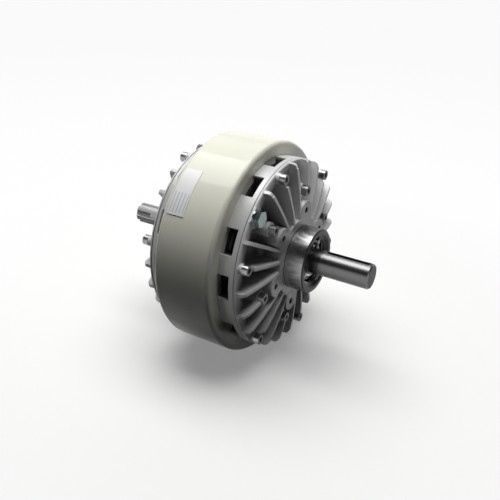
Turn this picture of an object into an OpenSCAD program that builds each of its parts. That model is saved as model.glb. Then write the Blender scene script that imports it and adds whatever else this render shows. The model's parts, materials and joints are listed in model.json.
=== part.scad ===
// Magnetic powder brake with finned end brackets and a through shaft.
// Shaft along X with the keyed end at +X, +Z up, millimetres.
// The origin is on the axis, in the plane of the front mounting pads.

/* [Field ring] */
// Outside diameter of the painted field ring
ring_d = 220; // [214:1:232]
// Axial width of the field ring
ring_w = 62; // [58:1:70]
// Radial wall of the field ring
ring_wall = 13.5; // [10:0.5:18]
// Rounding of the outer edges of the field ring
ring_round = 4; // [1:0.5:8]
// Length of the blank rating plate along the ring
plate_long = 47; // [30:1:60]
// Width of the blank rating plate
plate_w = 18; // [12:1:24]

/* [Slotted rims] */
// Radial wall of the slotted rims
rim_wall = 12; // [11:0.5:14]
// Angle that one window covers
window_angle = 14.5; // [10:0.5:18]
// Axial width of the windows
window_w = 8; // [4:0.5:9]

/* [Brackets] */
// Distance from the face of the field ring to the front mounting pads
pad_reach = 34; // [32:1:40]
// How much nearer to the ring the rear pads stand
rear_set = 3.5; // [0:0.5:4]
// Thickness of a fin at its front edge
fin_top = 2.6; // [2:0.1:4]
// Thickness of a fin at its root
fin_root = 4.6; // [4:0.1:6]
// Drop of the fin edge from the hub out to the rim
fin_drop = 6; // [3:0.5:8]
// Pitch circle of the tapped holes in the pads
pad_pcd = 95; // [92:1:98]
// Diameter of the tapped holes in the pads
pad_hole_d = 6.8; // [5:0.1:8.5]

/* [Hubs and bearings] */
// Outside diameter of the pilot hubs
hub_d = 65; // [63:0.5:67]
// Length of a pilot hub in front of the pads
hub_reach = 20; // [18:1:26]
// Outside diameter of the ball bearings
bearing_d = 52; // [50:1:54]
// Width of the ball bearings
bearing_w = 15; // [13:1:16]
// Number of balls in a bearing
ball_count = 9; // [7:1:10]

/* [Shaft] */
// Diameter of the shaft at the keyed end and in the bearings
shaft_d = 25; // [24:1:26]
// Length of the keyed end in front of the hub
shaft_reach = 57.5; // [50:0.5:70]
// Width of the keyway
key_w = 8; // [6:1:9]
// Outside diameter of the splines
spline_d = 22; // [20:1:23]
// Length of the splined end behind the rear hub
spline_reach = 54; // [40:1:60]

/* [Inside] */
// Radial depth of the poles and the coil
coil_depth = 14.5; // [12:0.5:17]
// Radial wall of the drum
drum_wall = 6; // [5:0.5:8]
// Width of the rotor
rotor_w = 38; // [32:1:40]
// Working gap that holds the powder
powder_gap = 2; // [1.5:0.1:3]

/* [Hidden] */
fit = 0.05;
glue = 0.1;
clear = 0.5;
sectors = 6;
sector = 360 / sectors;
pad_turn = 17;
screw_turn = pad_turn + sector / 2;
fin_pitch = sector / 4;
plug_turn = pad_turn + 2 * sector;
key_turn = 80;
lead_turn = 330;
ring_r = ring_d / 2;
shell_in = ring_r - ring_wall;
rim_r = shell_in - clear;
rim_in = rim_r - rim_wall;
hub_r = hub_d / 2;
shaft_r = shaft_d / 2;
spline_r = spline_d / 2;
root_r = spline_r - 2;
pole_in = shell_in - coil_depth;
drum_out = pole_in - fit;
drum_in = drum_out - drum_wall;
rotor_r = drum_in - powder_gap;
pole_w = 10;
face_z = -pad_reach;
mid_z = -pad_reach - ring_w / 2;
seat_z = face_z - clear;
flange_z = -17.5;
floor_z = -24;
web_z = -29;
hub_back = -34.5;
screw_r = rim_r - 5;
hub_screw_r = rim_in - 18;
rim_seat = -11;
hub_seat = -7.5;
head_r = 5;
head_h = 6;
shank_r = 3;
boss_r = hub_r + 8;
pad_r = pad_pcd / 2;
lobe_r = 11;
plug_r = rim_r - 7;
bore_r = bearing_d / 2;
bearing_z = hub_reach - 5;
ball_r = (bearing_d - shaft_d) * 0.147;
pitch_r = (bearing_d + shaft_d) / 4;
race_gap = (bearing_d - shaft_d) * 0.115;
shoulder_r = shaft_r + 2.5;
seat_r = shaft_r + 3.5;
end_z = hub_reach + shaft_reach;
rear_end = 2 * mid_z + rear_set - hub_reach - spline_reach;
coil_half = ring_w / 2 - clear - pole_w;
bobbin_wall = 1.5;
bobbin_gap = 0.3;
plug_shank = 4;
plug_flat = 14;
plug_head = 5.9;
washer_r = 8;
washer_t = 1.2;
rotor_boss = 10;
rotor_web = 14;
rotor_rim = 12;
rotor_key_w = 10;
rotor_key_h = 7.8;
rotor_key_deep = 4.5;
rotor_key_end = 4;
collar_w = 2;
lead_r = 5;
lead_bore = 3;
lead_collar = 7.5;
lead_reach = 7;
plate_t = 0.4;
spacer_half = 3;
guard_t = 1.5;
seal_w = 8;
lug_r = 2.4;
joint = 0.6;
cast_fillet = 4;

$fn = 96;

cream = [0.86, 0.86, 0.80];
cast_grey = [0.66, 0.67, 0.68];
rim_grey = [0.80, 0.81, 0.82];
steel = [0.55, 0.56, 0.57];
dark_steel = [0.34, 0.35, 0.36];
zinc = [0.62, 0.66, 0.60];
copper = [0.70, 0.40, 0.22];
amber = [0.72, 0.62, 0.42];
black = [0.10, 0.10, 0.11];
felt = [0.30, 0.29, 0.27];

// Local z runs along the shaft, local angles run from +Y towards +Z
module on_axis() {
    rotate([90, 0, 90])
        children();
}

// Same place on the rear side, mirrored about the middle of the ring
module at_rear() {
    translate([0, 0, 2 * mid_z])
        mirror([0, 0, 1])
            children();
}

// Place of the rear bracket and its hub, nearer to the ring by rear_set
module at_rear_end() {
    translate([0, 0, rear_set])
        at_rear()
            children();
}

module around(radius, turn) {
    for (k = [0 : sectors - 1])
        rotate(turn + k * sector)
            translate([radius, 0, 0])
                children();
}

// Plain ring between two radii, from low to high along the shaft
module tube(inner, outer, low, high) {
    translate([0, 0, low])
        linear_extrude(high - low)
            difference() {
                circle(outer);
                circle(inner);
            }
}

// Field ring

module shell_section() {
    low = mid_z - ring_w / 2;
    square_in = ring_r - ring_round;
    translate([shell_in, low])
        square([square_in - shell_in, ring_w]);
    translate([square_in - 0.01, low + ring_round])
        square([ring_round + 0.01, ring_w - 2 * ring_round]);
    for (z = [low + ring_round, low + ring_w - ring_round])
        intersection() {
            translate([square_in, z])
                circle(ring_round);
            translate([square_in - 0.01, z - ring_round])
                square([ring_round + 0.01, 2 * ring_round]);
        }
}

module field_ring() {
    color(cream)
        on_axis()
            difference() {
                rotate_extrude()
                    shell_section();
                rotate(lead_turn)
                    translate([shell_in - 1, 0, mid_z])
                        rotate([0, 90, 0])
                            cylinder(r = lead_r, h = ring_r - shell_in + 2);
            }
}

module rating_plate() {
    turn = plate_long / ring_r * 180 / PI;
    color(rim_grey)
        on_axis()
            translate([0, 0, mid_z - ring_w / 2 + ring_round + 1.5])
                rotate(136.5 - turn / 2)
                    rotate_extrude(angle = turn)
                        translate([ring_r + glue, 0])
                            square([plate_t, plate_w]);
}

module pole() {
    difference() {
        tube(pole_in, shell_in - fit, seat_z - pole_w, seat_z);
        around(screw_r, screw_turn)
            translate([0, 0, seat_z - pole_w - 1])
                cylinder(r = shank_r + fit, h = pole_w + 2);
    }
}

module front_pole() {
    color(dark_steel)
        on_axis()
            pole();
}

module rear_pole() {
    color(dark_steel)
        on_axis()
            at_rear()
                pole();
}

module coil_bobbin() {
    low_r = pole_in + bobbin_gap;
    color(black)
        on_axis()
            translate([0, 0, mid_z]) {
                tube(low_r, low_r + bobbin_wall, -coil_half, coil_half);
                for (z = [-coil_half, coil_half - bobbin_wall])
                    tube(low_r + bobbin_wall - 0.1, shell_in - bobbin_gap, z, z + bobbin_wall);
            }
}

module coil_winding() {
    wound = coil_half - bobbin_wall - fit;
    color(copper)
        on_axis()
            tube(pole_in + bobbin_gap + bobbin_wall + fit, shell_in - 2 * clear, mid_z - wound, mid_z + wound);
}

module lead_gland() {
    color(black)
        on_axis()
            rotate(lead_turn)
                translate([0, 0, mid_z])
                    rotate([0, 90, 0])
                        difference() {
                            union() {
                                translate([0, 0, shell_in])
                                    cylinder(r = lead_r - fit, h = ring_wall + lead_reach);
                                translate([0, 0, ring_r + fit])
                                    cylinder(r = lead_collar, h = lead_reach / 2);
                            }
                            translate([0, 0, shell_in - 1])
                                cylinder(r = lead_bore, h = ring_r);
                        }
}

// Drum, powder and guards

module front_drum() {
    color(dark_steel)
        on_axis()
            tube(drum_in, drum_out, mid_z + spacer_half, seat_z - 1);
}

module drum_spacer() {
    color(amber)
        on_axis()
            tube(drum_in, drum_out, mid_z - spacer_half, mid_z + spacer_half);
}

module rear_drum() {
    color(dark_steel)
        on_axis()
            at_rear()
                tube(drum_in, drum_out, mid_z + spacer_half, seat_z - 1);
}

module powder() {
    color(black)
        on_axis()
            tube(rotor_r + clear, drum_in, mid_z - rotor_w / 2 + 1, mid_z + rotor_w / 2 - 1);
}

module guard() {
    low = mid_z + rotor_w / 2 + collar_w + clear;
    tube(seat_r + clear, drum_in - fit, low, low + guard_t);
}

module front_guard() {
    color(rim_grey)
        on_axis()
            guard();
}

module rear_guard() {
    color(rim_grey)
        on_axis()
            at_rear()
                guard();
}

// Slotted rims

module rim(high) {
    rim_mid = (seat_z + high) / 2 - 0.5;
    difference() {
        tube(rim_in, rim_r, seat_z, high);
        for (side = [-1, 1])
            around(0, screw_turn + side * 13 - window_angle / 2)
                translate([0, 0, rim_mid - window_w / 2])
                    rotate_extrude(angle = window_angle)
                        translate([rim_in - 1, 0])
                            square([rim_wall + 2, window_w]);
        around(screw_r, screw_turn)
            translate([0, 0, seat_z - 1])
                cylinder(r = shank_r + 0.3, h = 40);
    }
}

module front_rim() {
    color(rim_grey)
        on_axis()
            difference() {
                rim(flange_z);
                rotate(plug_turn)
                    translate([plug_r, 0, seat_z - 1])
                        cylinder(r = plug_shank + fit, h = 40);
            }
}

module rear_rim() {
    color(rim_grey)
        on_axis()
            at_rear()
                rim(flange_z - rear_set);
}

// Brackets

module web_section() {
    polygon([[hub_r + fit, web_z], [rim_in - 7, web_z], [rim_in - fit, flange_z - 4], [rim_in - fit, flange_z],
        [rim_r - joint, flange_z], [rim_r, flange_z + joint], [rim_r, flange_z + 2], [rim_r - 1, flange_z + 3],
        [rim_in + 7, flange_z + 3], [rim_in, flange_z + 2], [rim_in - 7, floor_z], [boss_r + cast_fillet, floor_z],
        [boss_r + cast_fillet * 0.3, floor_z + cast_fillet * 0.3], [boss_r, floor_z + cast_fillet], [boss_r, 0],
        [hub_r + fit, 0]]);
}

// Side view of a fin between two radii: rounded outer corner, front edge on a large arc
module fin_section(inner, outer) {
    tip = rim_r - 0.5;
    span = tip - boss_r;
    arc = (span * span + fin_drop * fin_drop) / (2 * fin_drop);
    corner = 4;
    intersection() {
        polygon([[inner, floor_z - 2], [min(outer, rim_in - 8), floor_z - 2], [min(outer, rim_in - 0.5), flange_z + 0.5],
            [outer, flange_z + 0.5], [outer, 1], [inner, 1]]);
        translate([boss_r, -0.5 - arc])
            circle(arc, $fn = 360);
        union() {
            translate([inner - 1, floor_z - 3])
                square([outer - corner - inner + 1, 40]);
            translate([inner - 1, floor_z - 3])
                square([outer - inner + 1, -0.5 - fin_drop - corner - floor_z + 3]);
            translate([outer - corner, -0.5 - fin_drop - corner])
                circle(corner);
        }
    }
}

module fin(inner, outer) {
    intersection() {
        rotate([90, 0, 0])
            translate([0, 0, -fin_root])
                linear_extrude(2 * fin_root)
                    fin_section(inner, outer);
        rotate([90, 0, 90])
            linear_extrude(rim_r)
                polygon([[-fin_root / 2, floor_z - 3], [fin_root / 2, floor_z - 3], [fin_top / 2, 1], [-fin_top / 2, 1]]);
    }
}

module lobe() {
    translate([0, 0, web_z + 1])
        linear_extrude(-web_z - 1) {
            translate([pad_r - 1.5, 0])
                circle(lobe_r);
            translate([boss_r - 4, -lobe_r])
                square([pad_r - 1.5 - boss_r + 4, 2 * lobe_r]);
        }
}

module bracket(plugged) {
    difference() {
        union() {
            rotate_extrude()
                web_section();
            around(0, pad_turn)
                lobe();
            for (side = [-1, 1])
                around(0, pad_turn + side * fin_pitch)
                    fin(boss_r - 1, rim_r - 0.5);
            around(0, screw_turn)
                fin(boss_r - 1, screw_r - 4);
            for (k = [0 : sectors - 1])
                if (!plugged || k != 2)
                    rotate(pad_turn + k * sector)
                        fin(hub_screw_r + 5, rim_r - 0.5);
            around(screw_r, screw_turn)
                translate([0, 0, flange_z + 1])
                    cylinder(r = head_r, h = rim_seat - flange_z - 1);
            around(hub_screw_r, pad_turn)
                translate([0, 0, web_z + 1])
                    cylinder(r = 7, h = hub_seat - web_z - 1);
            around(pad_r, pad_turn)
                translate([0, -2, web_z + 1])
                    cube([hub_screw_r - pad_r, 4, hub_seat - web_z - 3]);
            if (plugged)
                rotate(plug_turn)
                    intersection() {
                        translate([plug_r, 0, flange_z])
                            cylinder(r = 10, h = 3.4);
                        tube(1, rim_r, flange_z, 0);
                    }
        }
        around(pad_r, pad_turn)
            translate([0, 0, -16])
                cylinder(d = pad_hole_d, h = 30);
        around(screw_r, screw_turn) {
            translate([0, 0, flange_z - 5])
                cylinder(r = shank_r + 0.3, h = 40);
            translate([0, 0, rim_seat])
                cylinder(r = head_r + 0.8, h = 40);
        }
        around(hub_screw_r, pad_turn) {
            translate([0, 0, web_z - 1])
                cylinder(r = shank_r + 0.3, h = 60);
            translate([0, 0, hub_seat])
                cylinder(r = head_r + 1, h = 40);
        }
        if (plugged)
            rotate(plug_turn)
                translate([plug_r, 0, flange_z - 1])
                    cylinder(r = plug_shank + fit, h = 40);
    }
}

module front_bracket() {
    color(cast_grey)
        on_axis()
            bracket(true);
}

module rear_bracket() {
    color(cast_grey)
        on_axis()
            at_rear_end()
                bracket(false);
}

// Hubs

module hub_section() {
    groove = bearing_z + fit;
    flange_r = hub_screw_r + 8;
    polygon([[bore_r - 2, hub_back], [flange_r, hub_back], [flange_r, web_z], [hub_r, web_z], [hub_r, 0], [hub_r - 0.5, 0.3],
        [hub_r - 0.5, 2], [hub_r, 2.3], [hub_r, hub_reach - 1], [hub_r - 1, hub_reach], [bore_r + 1.6, hub_reach],
        [bore_r, hub_reach - 1.6], [bore_r, groove + 2.15], [bore_r + 1.5, groove + 2.15], [bore_r + 1.5, groove],
        [bore_r, groove], [bore_r, bearing_z - bearing_w], [bore_r - 3.5, bearing_z - bearing_w],
        [bore_r - 3.5, bearing_z - bearing_w - 4], [bore_r - 2, bearing_z - bearing_w - 4]]);
}

module hub() {
    difference() {
        rotate_extrude()
            hub_section();
        around(hub_screw_r, pad_turn)
            translate([0, 0, hub_back - 1])
                cylinder(r = shank_r + fit, h = 8);
    }
}

module front_hub() {
    color(steel)
        on_axis()
            hub();
}

module rear_hub() {
    color(steel)
        on_axis()
            at_rear_end()
                hub();
}

module seal() {
    high = bearing_z - bearing_w - 4;
    tube(shoulder_r + 0.4, bore_r - 2 - fit, high - seal_w, high);
}

module front_seal() {
    color(felt)
        on_axis()
            seal();
}

module rear_seal() {
    color(felt)
        on_axis()
            at_rear_end()
                seal();
}

// Fasteners

module cap_screw(low, seat) {
    difference() {
        union() {
            translate([0, 0, low])
                cylinder(r = shank_r, h = seat - low + 0.1);
            translate([0, 0, seat])
                cylinder(r = head_r, h = head_h);
        }
        translate([0, 0, seat + head_h - 3])
            cylinder(d = 5.77, h = 4, $fn = 6);
    }
}

module rim_screws(seat) {
    around(screw_r, screw_turn)
        cap_screw(seat_z - pole_w + 1, seat);
}

module front_rim_screws() {
    color(steel)
        on_axis()
            rim_screws(rim_seat);
}

module rear_rim_screws() {
    color(steel)
        on_axis()
            at_rear()
                rim_screws(rim_seat - rear_set);
}

module hub_screws() {
    around(hub_screw_r, pad_turn)
        cap_screw(hub_back + 0.5, hub_seat);
}

module front_hub_screws() {
    color(steel)
        on_axis()
            hub_screws();
}

module rear_hub_screws() {
    color(steel)
        on_axis()
            at_rear_end()
                hub_screws();
}

module filler_plug() {
    seat = flange_z + 3.4;
    color(zinc)
        on_axis()
            rotate(plug_turn)
                translate([plug_r, 0, 0]) {
                    translate([0, 0, seat_z + 2])
                        cylinder(r = plug_shank, h = seat - seat_z - 1.9);
                    translate([0, 0, seat])
                        cylinder(r = washer_r, h = washer_t);
                    translate([0, 0, seat + washer_t - 0.1])
                        rotate(30)
                            cylinder(d = plug_flat / cos(30), h = plug_head, $fn = 6);
                }
}

// Bearings

module race_cut() {
    rotate_extrude()
        translate([pitch_r, bearing_z - bearing_w / 2])
            circle(ball_r + fit);
}

module outer_race() {
    difference() {
        tube(pitch_r + race_gap, bore_r, bearing_z - bearing_w, bearing_z);
        race_cut();
    }
}

module inner_race() {
    difference() {
        tube(shaft_r, pitch_r - race_gap, bearing_z - bearing_w, bearing_z);
        race_cut();
    }
}

module at_balls() {
    for (k = [0 : ball_count - 1])
        rotate(k * 360 / ball_count + 20)
            translate([pitch_r, 0, bearing_z - bearing_w / 2])
                children();
}

module balls() {
    at_balls()
        sphere(ball_r);
}

module cage() {
    half = ball_r + 1.4;
    difference() {
        tube(pitch_r - 1, pitch_r + 1, bearing_z - bearing_w / 2 - half, bearing_z - bearing_w / 2 + half);
        at_balls()
            rotate([0, 90, 0])
                cylinder(r = ball_r + 0.1, h = 8, center = true);
    }
}

module front_outer_race() {
    color(steel)
        on_axis()
            outer_race();
}

module front_inner_race() {
    color(steel)
        on_axis()
            inner_race();
}

module front_balls() {
    color(steel)
        on_axis()
            balls();
}

module front_cage() {
    color(amber)
        on_axis()
            cage();
}

module rear_outer_race() {
    color(steel)
        on_axis()
            at_rear_end()
                outer_race();
}

module rear_inner_race() {
    color(steel)
        on_axis()
            at_rear_end()
                inner_race();
}

module rear_balls() {
    color(steel)
        on_axis()
            at_rear_end()
                balls();
}

module rear_cage() {
    color(amber)
        on_axis()
            at_rear_end()
                cage();
}

// Retaining rings with an open gap

module clip(inner, outer, low, high, gap, lug_at) {
    side = asin((gap / 2 + lug_r - 0.4) / lug_at);
    difference() {
        union() {
            tube(inner, outer, low, high);
            for (turn = [-side, side])
                rotate(key_turn + turn)
                    translate([lug_at, 0, low])
                        cylinder(r = lug_r, h = high - low);
        }
        rotate(key_turn)
            translate([inner - 5, -gap / 2, low - 1])
                cube([outer - inner + 10, gap, high - low + 2]);
        for (turn = [-side, side])
            rotate(key_turn + turn)
                translate([lug_at, 0, low - 1])
                    cylinder(r = lug_r / 2.4, h = high - low + 2);
    }
}

module bore_clip() {
    low = bearing_z + 0.1;
    clip(bore_r - 2.2, bore_r + 1.4, low, low + 2, 9, bore_r - 2.6);
}

module front_bore_clip() {
    color(dark_steel)
        on_axis()
            bore_clip();
}

module rear_bore_clip() {
    color(dark_steel)
        on_axis()
            at_rear_end()
                bore_clip();
}

module shaft_clip() {
    low = bearing_z + 0.1;
    clip(shaft_r - 0.5, shaft_r + 2, low, low + 1.2, 6, shaft_r + 2.2);
}

module front_shaft_clip() {
    color(dark_steel)
        on_axis()
            shaft_clip();
}

module rear_shaft_clip() {
    color(dark_steel)
        on_axis()
            at_rear_end()
                shaft_clip();
}

// Shaft and rotor

module journal_groove() {
    translate([0, 0, bearing_z + fit])
        tube(shaft_r - 0.55, shaft_r + 5, 0, 1.3);
}

module shaft_section() {
    shoulder_z = bearing_z - bearing_w;
    rear_shoulder = 2 * mid_z + rear_set - shoulder_z;
    seat_low = mid_z - rotor_w / 2;
    seat_high = mid_z + rotor_w / 2 + 4;
    spline_z = 2 * mid_z + rear_set - hub_reach;
    polygon([[0, spline_z - 3], [spline_r, spline_z - 3], [spline_r, spline_z + 0.5], [shaft_r - 0.5, spline_z + 0.5],
        [shaft_r, spline_z + 1], [shaft_r, rear_shoulder], [shoulder_r, rear_shoulder], [shoulder_r, seat_low - 4],
        [seat_r, seat_low - 4], [seat_r, seat_low - collar_w], [seat_r + 4, seat_low - collar_w], [seat_r + 4, seat_low],
        [seat_r, seat_low], [seat_r, seat_high], [shoulder_r, seat_high], [shoulder_r, shoulder_z], [shaft_r, shoulder_z],
        [shaft_r, hub_reach + 5.6], [shaft_r - 0.4, hub_reach + 5.8], [shaft_r - 0.4, hub_reach + 6.8],
        [shaft_r, hub_reach + 7], [shaft_r, end_z - 1.2], [shaft_r - 1.2, end_z], [2.6, end_z], [1.2, end_z - 3],
        [1.2, end_z - 8], [0, end_z - 9]]);
}

module splines() {
    long = spline_reach - 2;
    translate([0, 0, rear_end])
        intersection() {
            rotate_extrude()
                polygon([[0, 0], [spline_r - 1.2, 0], [spline_r, 1.2], [spline_r, long], [0, long]]);
            union() {
                cylinder(r = root_r, h = long);
                for (k = [0 : 2])
                    rotate(k * 60 + 15)
                        translate([-spline_r, -2.5, 0])
                            cube([2 * spline_r, 5, long]);
            }
        }
}

module keyway() {
    low = hub_reach + 9.5 + key_w / 2;
    high = end_z - 2 - key_w / 2;
    rotate(key_turn)
        translate([shaft_r - 4, 0, 0])
            rotate([0, 90, 0])
                linear_extrude(8) {
                    for (z = [low, high])
                        translate([-z, 0])
                            circle(key_w / 2);
                    translate([-high, -key_w / 2])
                        square([high - low, key_w]);
                }
}

module rotor_key_space(grow) {
    long = rotor_w - 2 * rotor_key_end;
    rotate(key_turn)
        translate([seat_r - rotor_key_deep - grow, -rotor_key_w / 2 - grow, mid_z - long / 2 - grow])
            cube([rotor_key_h + 2 * grow, rotor_key_w + 2 * grow, long + 2 * grow]);
}

module shaft() {
    color(steel)
        on_axis() {
            difference() {
                rotate_extrude()
                    shaft_section();
                journal_groove();
                at_rear_end()
                    journal_groove();
                translate([0, 0, mid_z + rotor_w / 2 + fit])
                    tube(seat_r - 0.85, seat_r + 5, 0, 1.6);
                keyway();
                rotor_key_space(fit);
            }
            splines();
        }
}

module rotor() {
    color(dark_steel)
        on_axis()
            difference() {
                rotate_extrude() {
                    half = rotor_w / 2;
                    translate([seat_r + 0.02, mid_z - half])
                        square([rotor_boss, rotor_w]);
                    translate([seat_r + rotor_boss - 1, mid_z - rotor_web / 2])
                        square([rotor_r - rotor_rim - seat_r - rotor_boss + 2, rotor_web]);
                    translate([rotor_r - rotor_rim, mid_z - half])
                        square([rotor_rim, rotor_w]);
                }
                rotor_key_space(fit);
            }
}

module rotor_key() {
    color(steel)
        on_axis()
            rotor_key_space(0);
}

module rotor_clip() {
    low = mid_z + rotor_w / 2 + 0.1;
    color(dark_steel)
        on_axis()
            clip(seat_r - 0.8, seat_r + 3, low, low + 1.5, 7, seat_r + 3);
}

field_ring();
rating_plate();
front_pole();
rear_pole();
coil_bobbin();
coil_winding();
lead_gland();
front_drum();
drum_spacer();
rear_drum();
powder();
front_guard();
rear_guard();
rotor();
rotor_key();
rotor_clip();
shaft();
front_rim();
rear_rim();
front_bracket();
rear_bracket();
front_hub();
rear_hub();
front_rim_screws();
rear_rim_screws();
front_hub_screws();
rear_hub_screws();
filler_plug();
front_outer_race();
front_inner_race();
front_balls();
front_cage();
rear_outer_race();
rear_inner_race();
rear_balls();
rear_cage();
front_bore_clip();
rear_bore_clip();
front_shaft_clip();
rear_shaft_clip();
front_seal();
rear_seal();
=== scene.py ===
import json
import math
import bmesh
import bpy
from mathutils import Matrix, Vector


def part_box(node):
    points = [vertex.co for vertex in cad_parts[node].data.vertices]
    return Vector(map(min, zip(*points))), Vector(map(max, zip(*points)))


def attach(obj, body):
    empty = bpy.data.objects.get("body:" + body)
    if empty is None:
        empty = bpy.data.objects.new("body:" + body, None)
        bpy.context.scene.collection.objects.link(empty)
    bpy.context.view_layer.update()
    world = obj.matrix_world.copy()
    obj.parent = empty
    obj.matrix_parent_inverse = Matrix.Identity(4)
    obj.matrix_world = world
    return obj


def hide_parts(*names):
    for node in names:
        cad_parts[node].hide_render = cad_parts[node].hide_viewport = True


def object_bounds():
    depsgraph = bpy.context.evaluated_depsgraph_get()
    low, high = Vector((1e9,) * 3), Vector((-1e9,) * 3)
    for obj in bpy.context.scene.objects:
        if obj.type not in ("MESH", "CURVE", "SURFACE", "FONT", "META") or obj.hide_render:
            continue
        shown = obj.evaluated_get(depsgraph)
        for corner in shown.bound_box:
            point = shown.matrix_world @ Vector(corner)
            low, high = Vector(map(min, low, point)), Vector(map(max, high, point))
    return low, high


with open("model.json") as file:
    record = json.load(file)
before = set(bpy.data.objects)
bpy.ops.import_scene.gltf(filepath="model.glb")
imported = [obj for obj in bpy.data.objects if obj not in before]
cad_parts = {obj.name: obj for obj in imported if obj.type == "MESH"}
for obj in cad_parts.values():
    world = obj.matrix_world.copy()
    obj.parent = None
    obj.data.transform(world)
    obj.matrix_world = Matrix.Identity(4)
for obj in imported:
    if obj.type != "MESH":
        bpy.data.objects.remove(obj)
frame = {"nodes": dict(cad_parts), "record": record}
nodes = frame["nodes"]
cadBox = [list(corner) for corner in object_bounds()]
mm = 0.001
white = (1, 1, 1)
sharpAngle = math.radians(35)

# Places on the solids that several finishes go by
padFaces = (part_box("rear_bracket")[0][0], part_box("front_bracket")[1][0])
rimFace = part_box("front_rim")[1][0]
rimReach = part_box("front_rim")[1][1]


# One shader socket with plain arithmetic
class Value:
    def __init__(self, shader, socket):
        self.shader = shader
        self.socket = socket

    def join(self, kind, *values):
        return self.shader.node("ShaderNodeMath", {"operation": kind}, dict(enumerate(values)))

    def __add__(self, other):
        return self.join("ADD", self, other)

    def __radd__(self, other):
        return self.join("ADD", other, self)

    def __sub__(self, other):
        return self.join("SUBTRACT", self, other)

    def __rsub__(self, other):
        return self.join("SUBTRACT", other, self)

    def __mul__(self, other):
        return self.join("MULTIPLY", self, other)

    def __rmul__(self, other):
        return self.join("MULTIPLY", other, self)

    def __truediv__(self, other):
        return self.join("DIVIDE", self, other)

    def __rtruediv__(self, other):
        return self.join("DIVIDE", other, self)

    def __pow__(self, other):
        return self.join("POWER", self, other)

    def __rpow__(self, other):
        return self.join("POWER", other, self)

    def above(self, edge):
        return self.join("GREATER_THAN", self, edge)

    def below(self, edge):
        return self.join("LESS_THAN", self, edge)

    def size(self):
        return self.join("ABSOLUTE", self)

    def fraction(self):
        return self.join("FRACT", self)

    def wave(self):
        return self.join("SINE", self)

    def highest(self, other):
        return self.join("MAXIMUM", self, other)

    def ramp(self, low, high, start=0.0, end=1.0):
        settings = {"clamp": True, "interpolation_type": "SMOOTHSTEP"}
        return self.shader.node("ShaderNodeMapRange", settings, {0: self, 1: low, 2: high, 3: start, 4: end})


# One material with its Principled surface
class Shader:
    def __init__(self, name):
        self.material = bpy.data.materials.new(name)
        self.material.use_nodes = True
        self.tree = self.material.node_tree
        self.surface = self.tree.nodes["Principled BSDF"]
        self.place = self.node("ShaderNodeTexCoord", {}, {}, "Object")

    # A Value is linked, a plain number or colour is set on the socket itself
    def feed(self, socket, value):
        if isinstance(value, Value):
            self.tree.links.new(value.socket, socket)
        else:
            socket.default_value = value

    def node(self, kind, settings, inputs, output=0):
        made = self.tree.nodes.new(kind)
        for name, value in settings.items():
            setattr(made, name, value)
        for name, value in inputs.items():
            self.feed(made.inputs[name], value)
        return Value(self, made.outputs[output])

    def finish(self, sockets):
        for name, value in sockets.items():
            self.feed(self.surface.inputs[name], value)
        return self.material

    def axis(self, number):
        return self.node("ShaderNodeSeparateXYZ", {}, {0: self.place}, number)

    def radius(self):
        across = self.axis(1)
        up = self.axis(2)
        return (across * across + up * up) ** 0.5

    # How far a point lies behind the pads of its own end
    def padDepth(self):
        rear, front = padFaces
        return (front - rear) / 2 - (self.axis(0) - (front + rear) / 2).size()

    # One where the surface stands square to the shaft
    def squareFace(self, limits=(0.85, 0.97)):
        normal = self.node("ShaderNodeTexCoord", {}, {}, "Normal")
        return self.node("ShaderNodeSeparateXYZ", {}, {0: normal}).size().ramp(*limits)

    def noise(self, scale, detail, stretch=None):
        vector = self.place
        if stretch:
            inputs = {"Vector": vector, "Scale": stretch}
            vector = self.node("ShaderNodeMapping", {"vector_type": "POINT"}, inputs)
        return self.node("ShaderNodeTexNoise", {}, {"Vector": vector, "Scale": scale, "Detail": detail})

    # Turning marks: lines round the shaft, on cylinders and faces alike
    def rings(self, scale, detail, slope=1.7):
        along = self.axis(0) + self.radius() * slope
        inputs = {"W": along, "Scale": scale, "Detail": detail}
        return self.node("ShaderNodeTexNoise", {"noise_dimensions": "1D"}, inputs)

    def blend(self, factor, first, second):
        settings = {"data_type": "RGBA", "blend_type": "MIX", "clamp_factor": True}
        return self.node("ShaderNodeMix", settings, {0: factor, 6: first, 7: second}, 2)

    def shades(self, factor, colour, limits):
        return self.blend(factor, tone(colour, limits[0]), tone(colour, limits[1]))

    def bump(self, height, strength, distance):
        inputs = {"Height": height, "Strength": strength, "Distance": distance * mm}
        return self.node("ShaderNodeBump", {}, inputs)


def tone(colour, factor=1.0):
    return (colour[0] * factor, colour[1] * factor, colour[2] * factor, 1.0)


# Painted ring: glossy enamel with a faint orange peel and a little handling dirt
def makePaint():
    look = {"colour": (0.745, 0.749, 0.652), "shades": (0.96, 1.03), "cloud": (22, 4),
            "dirt": (0.42, 0.40, 0.32), "smear": (60, 5, (0.5, 1, 1)), "smearEdge": (0.62, 0.78),
            "dirtShare": 0.10, "rough": 0.24, "cloudRough": 0.05, "dirtRough": 0.10, "peel": (420, 2),
            "relief": 0.05, "height": 0.4, "coat": 0.36, "coatRough": 0.07, "gloss": 0.10}
    shader = Shader("creamEnamel")
    cloud = shader.noise(*look["cloud"])
    dirt = shader.noise(*look["smear"]).ramp(*look["smearEdge"])
    plain = shader.shades(cloud, look["colour"], look["shades"])
    return shader.finish({
        "Base Color": shader.blend(dirt * look["dirtShare"], plain, tone(look["dirt"])),
        "Roughness": look["rough"] + cloud * look["cloudRough"] + dirt * look["dirtRough"],
        "Normal": shader.bump(shader.noise(*look["peel"]), look["relief"], look["height"]),
        "Coat Weight": look["coat"],
        "Coat Roughness": look["coatRough"],
        "Specular IOR Level": look["gloss"],
    })


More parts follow.
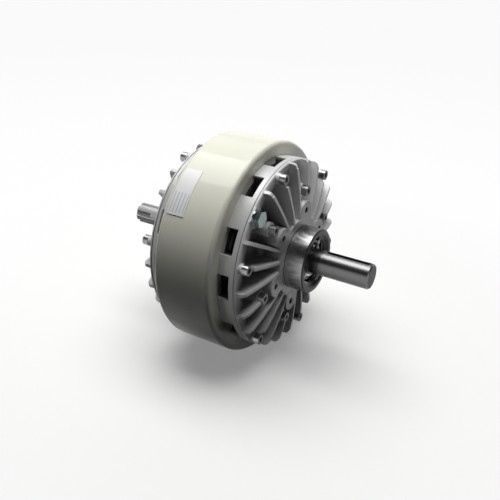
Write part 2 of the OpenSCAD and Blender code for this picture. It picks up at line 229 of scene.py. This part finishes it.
# Turned metal: fine marks round the shaft, painted shade darkening the faces square to the shaft, paler on a
# milled stub
turnedBase = {"shades": (0.88, 1.12), "grain": 0.12, "fine": 3, "wide": (0.09, 2), "cloud": (45, 3),
              "mix": (0.5, 0.3, 0.2), "square": (0.85, 0.97), "facedRough": 0.18, "facedRelief": 0.9,
              "height": 0.2}
splineStub = {"end": -147, "colour": (0.52, 0.52, 0.52), "shades": (0.9, 1.1), "rough": -0.02, "metal": 0.15,
              "gloss": 0.12}
turnedLooks = {
    "dark_steel": {"name": "darkSteel", "colour": (0.22, 0.22, 0.23), "rough": 0.34, "lines": 1800,
                   "relief": 0.10},
    "spacer_brass": {"name": "spacerBrass", "colour": (0.62, 0.47, 0.20), "rough": 0.30, "lines": 1800,
                     "relief": 0.08},
    "ground_steel": {"name": "groundSteel", "colour": (0.18, 0.18, 0.18), "rough": 0.29, "lines": 3000,
                     "relief": 0.14, "facedShade": 0.16, "stub": splineStub},
    "hub_steel": {"name": "hubSteel", "colour": (0.36, 0.36, 0.357), "rough": 0.25, "lines": 3000,
                  "relief": 0.10, "facedShade": 0.10, "square": (0.55, 0.70), "grain": 0.04},
    "bearing_steel": {"name": "bearingSteel", "colour": (0.55, 0.55, 0.56), "rough": 0.14, "lines": 2200,
                      "relief": 0.02},
}


def makeTurned(settings):
    look = {**turnedBase, **settings}
    shader = Shader(look["name"])
    wideScale, wideDetail = look["wide"]
    fine = shader.rings(look["lines"], look["fine"])
    wide = shader.rings(look["lines"] * wideScale, wideDetail)
    fineShare, wideShare, cloudShare = look["mix"]
    shade = fine * fineShare + wide * wideShare + shader.noise(*look["cloud"]) * cloudShare
    metal = shader.shades(shade, look["colour"], look["shades"])
    sheen = look["rough"] - look["grain"] / 2 + shade * look["grain"]
    relief = fine
    sockets = {"Metallic": 1.0}
    if "stub" in look:
        stub = look["stub"]
        milled = shader.axis(0).below(stub["end"] * mm)
        metal = shader.blend(milled, metal, shader.shades(shade, stub["colour"], stub["shades"]))
        sheen = sheen + milled * stub["rough"]
        sockets["Metallic"] = 1 - milled * (1 - stub["metal"])
        sockets["Specular IOR Level"] = stub["gloss"]
    # Painted shade: faces square to the shaft take a far darker tone
    if "facedShade" in look:
        face = shader.squareFace(look["square"])
        metal = shader.blend(face, metal, tone(look["colour"], look["facedShade"]))
        sheen = sheen + face * look["facedRough"]
        relief = fine * (1 - face * look["facedRelief"])
    sockets["Base Color"] = metal
    sockets["Roughness"] = sheen
    sockets["Normal"] = shader.bump(relief, look["relief"], look["height"])
    return shader.finish(sockets)


# Cast aluminium: grainy skin, machined on the pads, darker in the joint to the rim, with painted shade deep
# between the fins
def makeCast():
    look = {"skin": (0.68, 0.685, 0.69), "shades": (0.86, 1.08), "cloud": (55, 4), "grain": (900, 3),
            "pocketShade": 0.48, "pocketShadeTone": 0.08, "pocketDepth": (2, 22), "pocketEdge": (12, 4),
            "joint": 0.85, "jointTone": 0.05, "jointDepth": 0.8, "jointReach": 1.0,
            "cut": (0.42, 0.425, 0.43), "cutDepth": 0.4, "rough": 0.34, "cloudRough": 0.10, "cutRough": 0.12,
            "swell": 0.6, "relief": 0.22, "height": 0.5, "metal": 0.10, "gloss": 0.20}
    shader = Shader("castAluminium")
    reach = shader.radius()
    depth = shader.padDepth()
    cloud = shader.noise(*look["cloud"])
    cut = depth.below(look["cutDepth"] * mm)
    shallow, deep = look["pocketDepth"]
    inner, outer = look["pocketEdge"]
    within = reach.ramp(rimReach - inner * mm, rimReach - outer * mm, 1.0, 0.0)
    # Painted shade: the skin darkens with depth between the fins, inside the rim
    pocketShade = depth.ramp(shallow * mm, deep * mm) * within
    seat = padFaces[1] - rimFace
    joint = depth.above(seat - look["jointDepth"] * mm) * reach.above(rimReach - look["jointReach"] * mm)
    skin = shader.shades(cloud, look["skin"], look["shades"])
    skin = shader.blend(pocketShade * look["pocketShade"], skin, tone(look["skin"], look["pocketShadeTone"]))
    skin = shader.blend(joint * look["joint"], skin, tone(look["skin"], look["jointTone"]))
    relief = shader.noise(*look["grain"]) + cloud * look["swell"]
    return shader.finish({
        "Base Color": shader.blend(cut, skin, tone(look["cut"])),
        "Roughness": look["rough"] + cloud * look["cloudRough"] - cut * look["cutRough"],
        "Normal": shader.bump(relief, look["relief"], look["height"]),
        "Metallic": look["metal"],
        "Specular IOR Level": look["gloss"],
    })


# Rims: fine turned aluminium, made near black inside the windows by painted shade
def makeRim():
    look = {"colour": (0.58, 0.585, 0.585), "shades": (0.92, 1.08), "lines": (900, 3), "cloud": (45, 3),
            "mix": (0.6, 0.4), "inside": (3.5, 0.6), "windowShadeShare": 0.9, "windowShadeTone": 0.04, "faceShare": 0.6,
            "rough": 0.31, "grain": 0.10, "relief": 0.20, "height": 0.2, "metal": 0.15, "gloss": 0.35}
    shader = Shader("turnedRim")
    lines = shader.rings(*look["lines"])
    lineShare, cloudShare = look["mix"]
    shade = lines * lineShare + shader.noise(*look["cloud"]) * cloudShare
    metal = shader.shades(shade, look["colour"], look["shades"])
    # Painted shade: near black more than a few mm inside the outer surface, less on faces square to the shaft
    inner, outer = look["inside"]
    inside = shader.radius().ramp(rimReach - inner * mm, rimReach - outer * mm, 1.0, 0.0)
    inside = inside * (1 - shader.squareFace() * look["faceShare"])
    deepShade = tone(look["colour"], look["windowShadeTone"])
    return shader.finish({
        "Base Color": shader.blend(inside * look["windowShadeShare"], metal, deepShade),
        "Roughness": look["rough"] + shade * look["grain"],
        "Normal": shader.bump(lines, look["relief"], look["height"]),
        "Metallic": look["metal"],
        "Specular IOR Level": look["gloss"],
    })


# Pole rings: the paint of the ring runs in under the rims; further in the bare steel is near black, its dark
# tone deepened as painted shade
def makePole():
    look = {"paint": (0.60, 0.60, 0.55), "steel": (0.05, 0.05, 0.052), "shades": (0.8, 1.2), "cloud": (60, 3),
            "edge": (7.5, 6.5), "rough": 0.35, "grain": 0.15}
    shader = Shader("poleRing")
    cloud = shader.noise(*look["cloud"])
    inner, outer = look["edge"]
    # Painted shade: the bare steel inside the paint is near black
    painted = shader.radius().ramp(rimReach - inner * mm, rimReach - outer * mm)
    steel = shader.shades(cloud, look["steel"], look["shades"])
    return shader.finish({
        "Base Color": shader.blend(painted, steel, tone(look["paint"])),
        "Roughness": look["rough"] + cloud * look["grain"],
    })


# Plated screws and plug: patchy zinc, darker on the faces square to the shaft as painted shade
platedBase = {"cloud": (260, 3), "patch": (70, 2), "patchEdge": (0.35, 0.65), "grain": 0.12,
              "facedRough": 0.12, "relief": 0.08, "height": 0.3}
platedLooks = {
    "screw_steel": {"name": "screwZinc", "low": (0.30, 0.30, 0.30), "high": (0.40, 0.40, 0.395),
                    "rough": 0.28, "facedShade": 0.40},
    "zinc_plate": {"name": "plugZinc", "low": (0.26, 0.33, 0.32), "high": (0.46, 0.50, 0.46),
                   "rough": 0.18, "facedShade": 1.0},
}


def makePlated(settings):
    look = {**platedBase, **settings}
    shader = Shader(look["name"])
    cloud = shader.noise(*look["cloud"])
    patch = shader.noise(*look["patch"]).ramp(*look["patchEdge"])
    # Painted shade: faces square to the shaft darker
    face = shader.squareFace()
    plating = shader.blend(patch, tone(look["low"]), tone(look["high"]))
    return shader.finish({
        "Base Color": shader.blend(face, plating, tone(look["low"], look["facedShade"])),
        "Roughness": look["rough"] + cloud * look["grain"] + face * look["facedRough"],
        "Normal": shader.bump(cloud, look["relief"], look["height"]),
        "Metallic": 1.0,
    })


# Plain pieces, most of them inside, and the worn edges of the castings
dullBase = {"shades": (0.80, 1.15), "detail": 4, "grain": 0.10, "height": 0.4, "metal": 0.0}
dullLooks = {
    "bobbin_plastic": {"name": "bobbinPlastic", "colour": (0.030, 0.030, 0.033), "rough": 0.45, "scale": 300,
                       "relief": 0.10},
    "gland_rubber": {"name": "glandRubber", "colour": (0.022, 0.022, 0.022), "rough": 0.62, "scale": 500,
                     "relief": 0.20},
    "powder_iron": {"name": "ironPowder", "colour": (0.06, 0.06, 0.065), "rough": 0.75, "scale": 2500,
                    "relief": 0.60, "metal": 0.4},
    "sheet_steel": {"name": "sheetSteel", "colour": (0.42, 0.43, 0.44), "rough": 0.36, "scale": 120,
                    "relief": 0.05, "metal": 1.0},
    "spring_steel": {"name": "springSteel", "colour": (0.07, 0.07, 0.075), "rough": 0.38, "scale": 400,
                     "relief": 0.06, "metal": 1.0},
    "worn_edge": {"name": "wornEdge", "colour": (0.62, 0.625, 0.63), "rough": 0.40, "scale": 700,
                  "relief": 0.10, "metal": 0.2},
    "cage_steel": {"name": "cageSteel", "colour": (0.16, 0.16, 0.155), "rough": 0.38, "scale": 300,
                   "relief": 0.06, "metal": 1.0},
    "felt": {"name": "feltRing", "colour": (0.10, 0.095, 0.085), "rough": 0.95, "scale": 1400,
             "relief": 0.80},
}


def makeDull(settings):
    look = {**dullBase, **settings}
    shader = Shader(look["name"])
    cloud = shader.noise(look["scale"], look["detail"])
    return shader.finish({
        "Base Color": shader.shades(cloud, look["colour"], look["shades"]),
        "Roughness": look["rough"] - look["grain"] / 2 + cloud * look["grain"],
        "Normal": shader.bump(cloud, look["relief"], look["height"]),
        "Metallic": look["metal"],
    })


# Blank rating plate: white satin foil with empty rules
def makePlate():
    look = {"foil": (0.88, 0.885, 0.90), "shades": (0.95, 1.04), "brush": (700, 2, (1, 0.1, 0.1)),
            "rough": 0.28, "grain": 0.10, "ink": (0.23, 0.26, 0.36), "inkShare": 0.55, "rules": 5,
            "thin": 0.13, "halfWidth": 0.42, "start": 0.07, "end": 0.52}
    shader = Shader("blankPlate")
    low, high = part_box("rating_plate")
    across = (shader.axis(0) - low[0]) / (high[0] - low[0])
    along = (shader.axis(2) - low[2]) / (high[2] - low[2])
    rule = ((across * look["rules"]).fraction() - 0.5).size().below(look["thin"])
    inside = (across - 0.5).size().below(look["halfWidth"])
    inside = inside * along.above(look["start"]) * along.below(look["end"])
    brush = shader.noise(*look["brush"])
    foil = shader.shades(brush, look["foil"], look["shades"])
    return shader.finish({
        "Base Color": shader.blend(rule * inside * look["inkShare"], foil, tone(look["ink"])),
        "Roughness": look["rough"] + brush * look["grain"],
    })


# Wound copper wire under a thin enamel
def makeWinding():
    look = {"low": (0.42, 0.17, 0.07), "high": (0.60, 0.27, 0.12), "cloud": (80, 2), "wires": 6000,
            "relief": 0.4, "height": 0.3, "rough": 0.30, "grain": 0.10, "metal": 0.9}
    shader = Shader("copperWinding")
    wire = ((shader.axis(0) + shader.radius()) * look["wires"]).wave()
    cloud = shader.noise(*look["cloud"])
    return shader.finish({
        "Base Color": shader.blend(cloud, tone(look["low"]), tone(look["high"])),
        "Roughness": look["rough"] + cloud * look["grain"],
        "Normal": shader.bump(wire, look["relief"], look["height"]),
        "Metallic": look["metal"],
    })


# Finishes by the material slots of the record, with the worn edge beside them
finishes = {"cream_paint": makePaint(), "plate": makePlate(), "winding": makeWinding(),
            "machined_aluminium": makeRim(), "cast_aluminium": makeCast()}
for make, looks in ((makeTurned, turnedLooks), (makePlated, platedLooks), (makeDull, dullLooks)):
    for slot, look in looks.items():
        finishes[slot] = make(look)
for entry in frame["record"]["subparts"]:
    mesh = nodes[entry["node"]].data
    mesh.materials.clear()
    mesh.materials.append(finishes[entry["material_slot"]])
poleFinish = makePole()
for name in ("front_pole", "rear_pole"):
    nodes[name].data.materials[0] = poleFinish
print("materials on", len(nodes), "nodes")


def softenEdges(piece, width):
    soft = piece.modifiers.new("softEdge", "BEVEL")
    soft.width = width * mm
    soft.segments = 2
    soft.limit_method = "ANGLE"
    soft.angle_limit = sharpAngle
    return soft


# Softly broken edges on the pieces that show, worn bright on the castings
edgeWidths = {"front_bracket": 0.3, "rear_bracket": 0.3, "front_rim_screws": 0.5, "rear_rim_screws": 0.5,
              "front_hub_screws": 0.5, "rear_hub_screws": 0.5, "filler_plug": 0.4}
wornNodes = ("front_bracket", "rear_bracket")
for name, width in edgeWidths.items():
    soft = softenEdges(nodes[name], width)
    if name in wornNodes:
        nodes[name].data.materials.append(finishes["worn_edge"])
        soft.material = 1
print("edges softened on", len(edgeWidths), "nodes")


def addPiece(name, points, faces, material):
    mesh = bpy.data.meshes.new(name)
    mesh.from_pydata(points, [], faces)
    mesh.materials.append(material)
    piece = bpy.data.objects.new(name, mesh)
    bpy.context.scene.collection.objects.link(piece)
    return piece


# Loose points dropped and all faces turned outwards
def cleanMesh(mesh):
    shape = bmesh.new()
    shape.from_mesh(mesh)
    loose = [point for point in shape.verts if not point.link_faces]
    bmesh.ops.delete(shape, geom=loose, context="VERTS")
    bmesh.ops.recalc_face_normals(shape, faces=shape.faces)
    shape.to_mesh(mesh)
    shape.free()


# Angles at which a rim's section is set, and whether a window is open from each to the next
def rimStations(cut):
    windows = []
    for sector in range(cut["count"]):
        for side in (-1, 1):
            middle = cut["turn"] + 360 * sector / cut["count"] + side * cut["apart"]
            windows.append((middle - cut["angle"] / 2, middle + cut["angle"] / 2))
    stations = []
    for index, (start, end) in enumerate(windows):
        following = windows[index + 1][0] if index + 1 < len(windows) else windows[0][0] + 360
        for low, high, opened in ((start, end, True), (end, following, False)):
            steps = max(2, round((high - low) / cut["step"]))
            stations += [(low + (high - low) * step / steps, opened) for step in range(steps)]
    return stations


# Corners of the section: 0 and 1 on the seat, 1 to 3 outside, 3 and 4 on the flange, 4, 5 and 0 inside
def sweepRim(section, stations):
    band = [(2, 3), (3, 4), (4, 5)]
    lintel = [(5, 2)]
    post = [(0, 1), (1, 2), (5, 0)]
    points = []
    faces = []
    for index, (angle, opened) in enumerate(stations):
        swing = math.radians(angle)
        points += [(x, reach * math.cos(swing), reach * math.sin(swing)) for reach, x in section]
        here = len(section) * index
        there = len(section) * ((index + 1) % len(stations))
        for first, second in band + (lintel if opened else post):
            faces.append((here + first, there + first, there + second, here + second))
        if opened != stations[index - 1][1]:
            faces.append((here, here + 1, here + 2, here + 5))
    return points, faces


# Rims whose windows open towards the ring, so that its face shows through them
def makeRims():
    cut = {"wall": 12.0, "window": 8.0, "shift": 0.5, "angle": 14.5, "turn": 47.0, "apart": 13.0, "count": 6,
           "step": 2.4, "edge": 0.35}
    stations = rimStations(cut)
    for name, inward in (("front_rim", 1), ("rear_rim", -1)):
        low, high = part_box(name)
        seat, flange = (low[0], high[0]) if inward > 0 else (high[0], low[0])
        outer = high[1]
        inner = outer - cut["wall"] * mm
        strip = abs(flange - seat) / 2 + (cut["shift"] - cut["window"] / 2) * mm
        top = flange - inward * strip
        section = ((inner, seat), (outer, seat), (outer, top), (outer, flange), (inner, flange), (inner, top))
        points, faces = sweepRim(section, stations)
        piece = addPiece(name + "_slotted", points, faces, finishes["machined_aluminium"])
        cleanMesh(piece.data)
        piece.data.shade_smooth()
        piece.data.set_sharp_from_angle(angle=sharpAngle)
        softenEdges(piece, cut["edge"])
        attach(piece, "housing")
        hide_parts(name)
    print("rims slotted,", 2 * cut["count"], "windows each")


makeRims()


# Tapped holes: cut metal at the mouth, darker further down as painted shade
def makeTapped():
    look = {"colour": (0.14, 0.14, 0.143), "shades": (0.7, 1.2), "swarf": (1500, 3), "holeShadeTone": 0.08,
            "holeShadeDepth": (0.3, 1.8), "rough": 0.30, "grain": 0.15, "metal": 0.7}
    shader = Shader("tappedHole")
    swarf = shader.noise(*look["swarf"])
    # Painted shade: darker with depth into the hole
    clean, deepShade = look["holeShadeDepth"]
    holeShade = shader.padDepth().ramp(clean * mm, deepShade * mm)
    bright = shader.shades(swarf, look["colour"], look["shades"])
    return shader.finish({
        "Base Color": shader.blend(holeShade, bright, tone(look["colour"], look["holeShadeTone"])),
        "Roughness": look["rough"] + swarf * look["grain"],
        "Metallic": look["metal"],
    })


# One hole's thread as a closed sleeve: the threaded inside with its floor, then the plain outside
def threadSleeve(cut, centre, plane, inward, first):
    sides = cut["sides"]
    rows = cut["rows"]
    points = []

    def addPoint(side, reach, down):
        turn = 2 * math.pi * side / sides
        across = (centre[0] + reach * math.cos(turn)) * mm
        up = (centre[1] + reach * math.sin(turn)) * mm
        points.append((plane + inward * down * mm, across, up))

    for row in range(rows + 1):
        down = cut["mouth"] + (cut["depth"] - cut["mouth"]) * row / rows
        for side in range(sides):
            phase = (down / cut["pitch"] - side / sides) % 1.0
            tooth = 1 - abs(2 * phase - 1) if 0 < row < rows else 0.0
            addPoint(side, cut["root"] - (cut["root"] - cut["crest"]) * tooth, down)
    for down in (cut["mouth"], cut["depth"] + cut["base"]):
        for side in range(sides):
            addPoint(side, cut["wall"], down)

    faces = []
    for row in range(rows):
        for side in range(sides):
            here = first + row * sides + side
            there = first + row * sides + (side + 1) % sides
            faces.append((here, there, there + sides, here + sides))
    faces.append([first + rows * sides + side for side in range(sides)])
    outside = first + (rows + 1) * sides
    for side in range(sides):
        after = (side + 1) % sides
        faces.append((first + side, outside + side, outside + after, first + after))
        faces.append((outside + side, outside + sides + side, outside + sides + after, outside + after))
    faces.append([outside + sides + side for side in reversed(range(sides))])
    if inward > 0:
        faces = [corners[::-1] for corners in faces]
    return points, faces


# Threads in the tapped holes of the pads
def makeThreads():
    cut = {"pcd": 95.0, "turn": 17.0, "count": 6, "pitch": 1.25, "wall": 3.395, "root": 3.36, "crest": 3.02,
           "mouth": 0.5, "depth": 15.6, "base": 0.2, "sides": 24, "rows": 75}
    tapped = makeTapped()
    rear, front = padFaces
    for name, plane, inward in (("front_pad_threads", front, -1), ("rear_pad_threads", rear, 1)):
        points = []
        faces = []
        for hole in range(cut["count"]):
            swing = math.radians(cut["turn"] + 360 * hole / cut["count"])
            centre = (cut["pcd"] / 2 * math.cos(swing), cut["pcd"] / 2 * math.sin(swing))
            sleevePoints, sleeveFaces = threadSleeve(cut, centre, plane, inward, len(points))
            points += sleevePoints
            faces += sleeveFaces
        piece = addPiece(name, points, faces, tapped)
        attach(piece, "housing")
    print("threads cut in", 2 * cut["count"], "pad holes")


makeThreads()


# Floor finish: white to the eye and near black to diffuse bounces, so that it keeps the shadow
def makePaper(low):
    look = {"speck": (40, 3), "shades": (0.92, 0.94), "bounce": 0.03, "middle": -0.06, "spot": (0.12, 0.55),
            "glow": (0.25, 0.95), "fade": (0.80, 1.75), "fadeTone": 0.18}
    shader = Shader("paleFloor")
    seen = shader.node("ShaderNodeLightPath", {}, {}, "Is Camera Ray")
    for ray in ("Is Glossy Ray", "Is Transmission Ray"):
        seen = seen.highest(shader.node("ShaderNodeLightPath", {}, {}, ray))
    paper = shader.shades(shader.noise(*look["speck"]), white, look["shades"])
    bright = shader.node("ShaderNodeBsdfDiffuse", {}, {"Color": paper})
    height = shader.axis(2) - low
    light = shader.blend(height.ramp(*look["fade"]), tone(white), tone(white, look["fadeTone"]))
    glow = shader.node("ShaderNodeEmission", {}, {"Color": light, "Strength": 1.0})
    dull = shader.node("ShaderNodeBsdfDiffuse", {}, {"Color": tone(white, look["bounce"])})
    along = shader.axis(0) - look["middle"]
    across = shader.axis(1)
    share = ((along * along + across * across) ** 0.5).ramp(*look["spot"], *look["glow"])
    lit = shader.node("ShaderNodeMixShader", {}, {0: share, 1: bright, 2: glow})
    both = shader.node("ShaderNodeMixShader", {}, {0: seen, 1: dull, 2: lit})
    shader.feed(shader.tree.nodes["Material Output"].inputs["Surface"], both)
    return shader.material


# Stage: a round floor with a cove and a wall round it
def makeFloor():
    shape = {"inner": (0.3, 1.2), "flat": 2.6, "cove": 1.0, "steps": 12, "wall": 1.9, "sides": 72}
    low = cadBox[0][2]
    sides = shape["sides"]
    profile = [(reach, 0.0) for reach in shape["inner"]]
    for step in range(shape["steps"] + 1):
        swing = math.radians(90 * step / shape["steps"])
        reach = shape["flat"] + shape["cove"] * math.sin(swing)
        profile.append((reach, shape["cove"] * (1 - math.cos(swing))))
    profile.append((shape["flat"] + shape["cove"], shape["wall"]))
    points = [(0.0, 0.0, low)]
    faces = []
    for row, (reach, height) in enumerate(profile):
        for side in range(sides):
            swing = 2 * math.pi * side / sides
            points.append((reach * math.cos(swing), reach * math.sin(swing), low + height))
            here = 1 + row * sides + side
            there = 1 + row * sides + (side + 1) % sides
            faces.append((0, here, there) if row == 0 else (here - sides, here, there, there - sides))
    floor = addPiece("floor", points, faces, makePaper(low))
    floor.data.shade_smooth()


makeFloor()

# Light: a wide soft box straight above that reaches far back, and a weak one behind
lampColour = (1.0, 0.995, 0.985)
lamps = {
    "topBox": {"place": (-0.22, 0.08, 1.20), "aim": (-0.22, 0.08, 0), "size": (1.60, 0.80), "power": 21.8},
    "rearBox": {"place": (-0.58, 0.92, 0.98), "aim": (-0.06, 0, 0), "size": (1.2, 0.8), "power": 2.5},
}
worldGrey = 0.010


def addLamp(name, settings):
    data = bpy.data.lights.new(name, "AREA")
    data.shape = "RECTANGLE"
    data.size, data.size_y = settings["size"]
    data.energy = settings["power"]
    data.color = lampColour
    place = Vector(settings["place"])
    lamp = bpy.data.objects.new(name, data)
    lamp.location = place
    lamp.rotation_euler = (Vector(settings["aim"]) - place).to_track_quat("-Z", "Y").to_euler()
    bpy.context.scene.collection.objects.link(lamp)


for name, settings in lamps.items():
    addLamp(name, settings)
world = bpy.data.worlds.new("studio")
world.use_nodes = True
world.node_tree.nodes["Background"].inputs["Color"].default_value = tone(white, worldGrey)
bpy.context.scene.world = world
print("floor, lamps and world set")


# Camera at the photograph's viewing angle, with its slight roll
def makeCamera():
    view = {"place": (0.2383, -0.5102, 0.2788), "turn": 30.012, "rise": 26.009, "roll": 2.032,
            "angle": 43.493, "near": 0.01}
    turn, rise, roll = (math.radians(view[key]) for key in ("turn", "rise", "roll"))
    back = Vector((math.sin(turn) * math.cos(rise), -math.cos(turn) * math.cos(rise), math.sin(rise)))
    right = Vector((math.cos(turn), math.sin(turn), 0))
    up = back.cross(right)
    across = math.cos(roll) * right + math.sin(roll) * up
    upward = math.cos(roll) * up - math.sin(roll) * right
    data = bpy.data.cameras.new("photoView")
    data.sensor_fit = "HORIZONTAL"
    data.angle = math.radians(view["angle"])
    data.clip_start = view["near"]
    camera = bpy.data.objects.new("photoView", data)
    pose = Matrix((across, upward, back)).transposed().to_4x4()
    pose.translation = Vector(view["place"])
    camera.matrix_world = pose
    bpy.context.scene.collection.objects.link(camera)
    bpy.context.scene.camera = camera


makeCamera()
bpy.context.scene.view_settings.view_transform = "Standard"
print("camera set")
